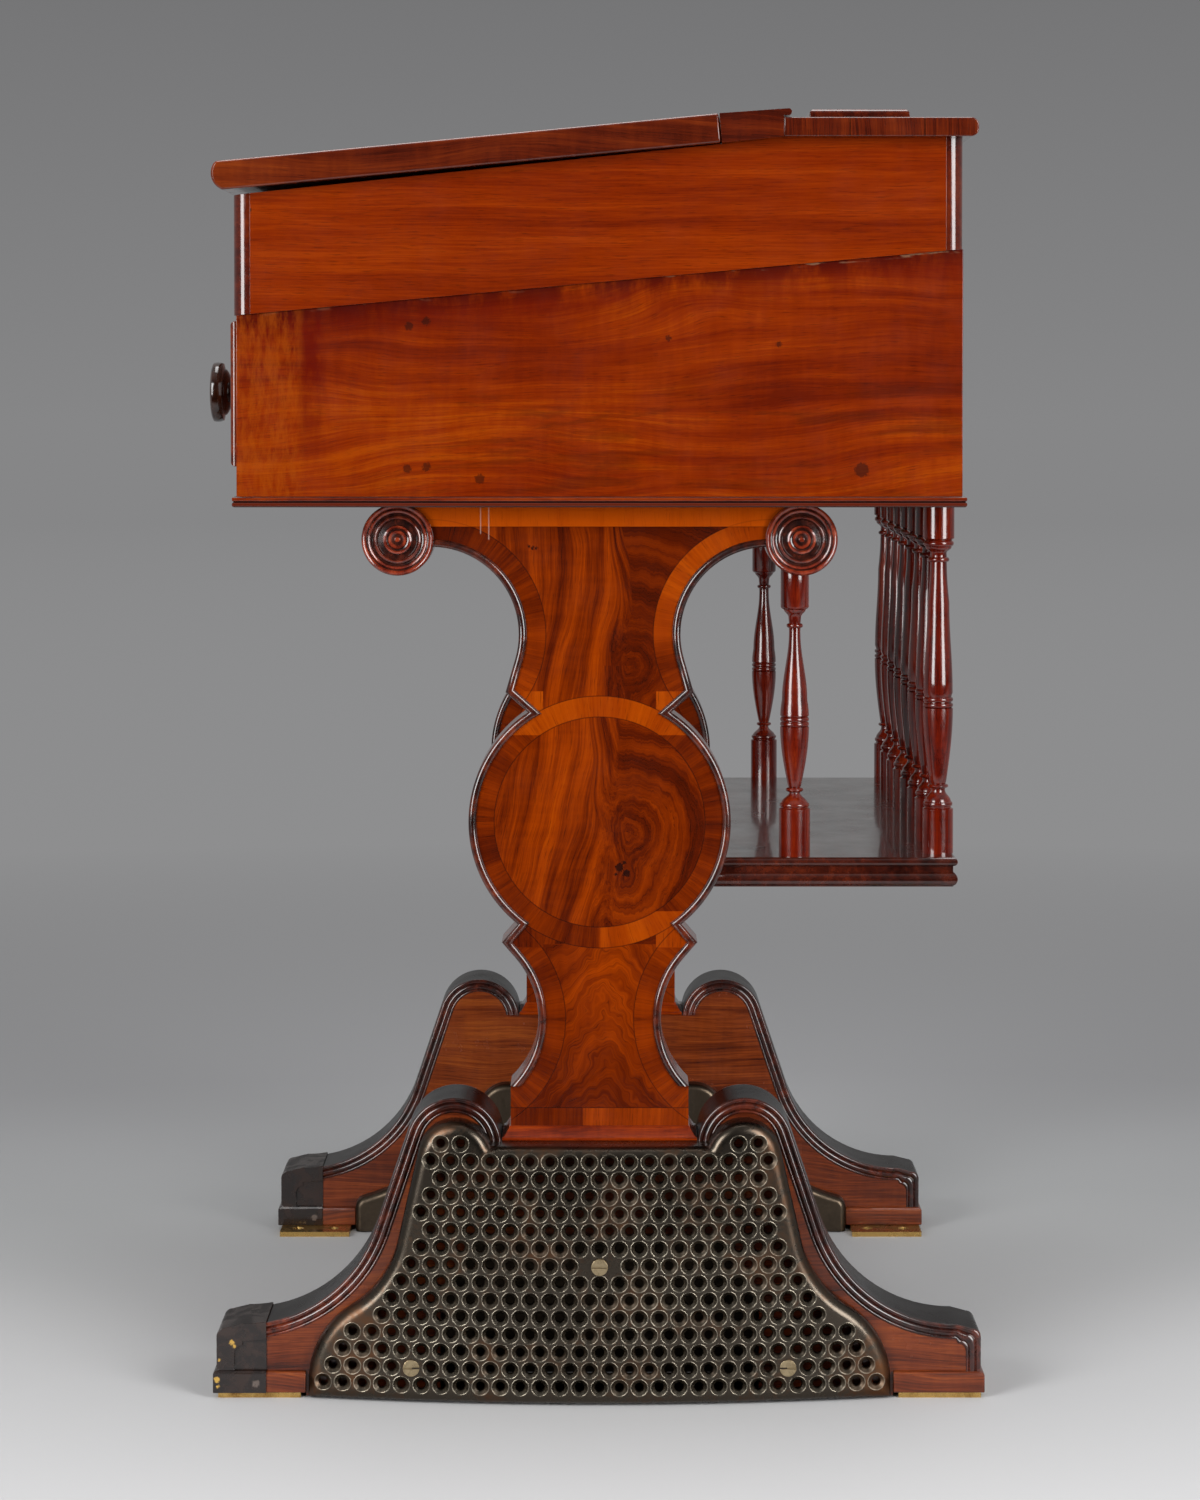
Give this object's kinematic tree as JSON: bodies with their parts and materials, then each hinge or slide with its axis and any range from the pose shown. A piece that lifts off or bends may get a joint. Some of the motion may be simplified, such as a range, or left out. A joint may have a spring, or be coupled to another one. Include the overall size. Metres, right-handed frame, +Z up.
{
  "type": "trestle writing desk",
  "caption": "Trestle desk with a sloped lift-up writing box, a drawer below it, a spindle book shelf at the back and feet faced with pierced air grilles.",
  "frame": {"origin": "on the floor, midway between the trestles and midway along the feet, at the middle of the floor screw pattern", "axes": "+Z up, +Y away from the sitter, +X to the sitter's right"},
  "size_m": [0.672, 0.5541, 0.9167],
  "materials": {
    "mahogany": "French-polished figured mahogany",
    "dark_mahogany": "dark polished mahogany, nearly black in the hollows",
    "light_mahogany": "straight-grained orange mahogany, polished",
    "bronze": "cast and darkened, worn lighter on its edges",
    "brass": "worn brass",
    "dark_sheet": "black-brown lacquer, chipped",
    "pine": "unfinished softwood, darkened by age",
    "glass": "clear moulded glass"
  },
  "bodies": {
    "desk": {"floor_plates": "brass", "toe_blocks": "mahogany", "toe_guards": "dark_sheet", "foot_right": "mahogany", "foot_left": "mahogany", "foot_bead_right": "dark_mahogany", "foot_bead_left": "dark_mahogany", "duct_cover_right": "bronze", "duct_cover_left": "bronze", "grille_right": "bronze", "grille_left": "bronze", "grille_screws": "brass", "foot_cap_right": "mahogany", "foot_cap_left": "mahogany", "upright_right": "mahogany", "upright_left": "mahogany", "upright_bead_right": "dark_mahogany", "upright_bead_left": "dark_mahogany", "scrolls_right": "dark_mahogany", "scrolls_left": "dark_mahogany", "bearers": "pine", "shelf": "dark_mahogany", "shelf_spindle_1": "dark_mahogany", "shelf_spindle_2": "dark_mahogany", "shelf_spindle_3": "dark_mahogany", "shelf_spindle_4": "dark_mahogany", "shelf_spindle_5": "dark_mahogany", "shelf_spindle_6": "dark_mahogany", "shelf_spindle_7": "dark_mahogany", "shelf_spindle_8": "dark_mahogany", "side_spindles": "dark_mahogany", "case_bottom": "pine", "case_side_right": "mahogany", "case_side_left": "mahogany", "case_back": "mahogany", "case_top": "light_mahogany", "base_moulding": "dark_mahogany", "front_rails": "mahogany", "drawer_runners": "pine", "box_front": "dark_mahogany", "box_back": "dark_mahogany", "box_side_right": "light_mahogany", "box_side_left": "light_mahogany", "hinge_rail": "dark_mahogany", "ledge": "dark_mahogany", "ink_block": "dark_mahogany", "ink_pots": "glass", "hinge_leaves_rail": "brass", "hinge_pins": "brass", "hinge_screws_rail": "brass"},
    "lid": {"lid_board": "mahogany", "lid_cleats": "dark_mahogany", "hinge_leaves_lid": "brass", "hinge_screws_lid": "brass"},
    "drawer": {"drawer_front": "mahogany", "drawer_sides": "pine", "drawer_back": "pine", "drawer_bottom": "pine", "drawer_knobs": "dark_mahogany"}
  },
  "joints": [
    {"name": "lid_hinge", "type": "hinge", "parent": "desk", "child": "lid", "pos_m": [0, 0.082, 0.8982], "axis": [-1, 0, 0], "range_deg": [0, 100]},
    {"name": "drawer_slide", "type": "slide", "parent": "desk", "child": "drawer", "axis": [0, -1, 0], "range_m": [0, 0.3]}
  ]
}
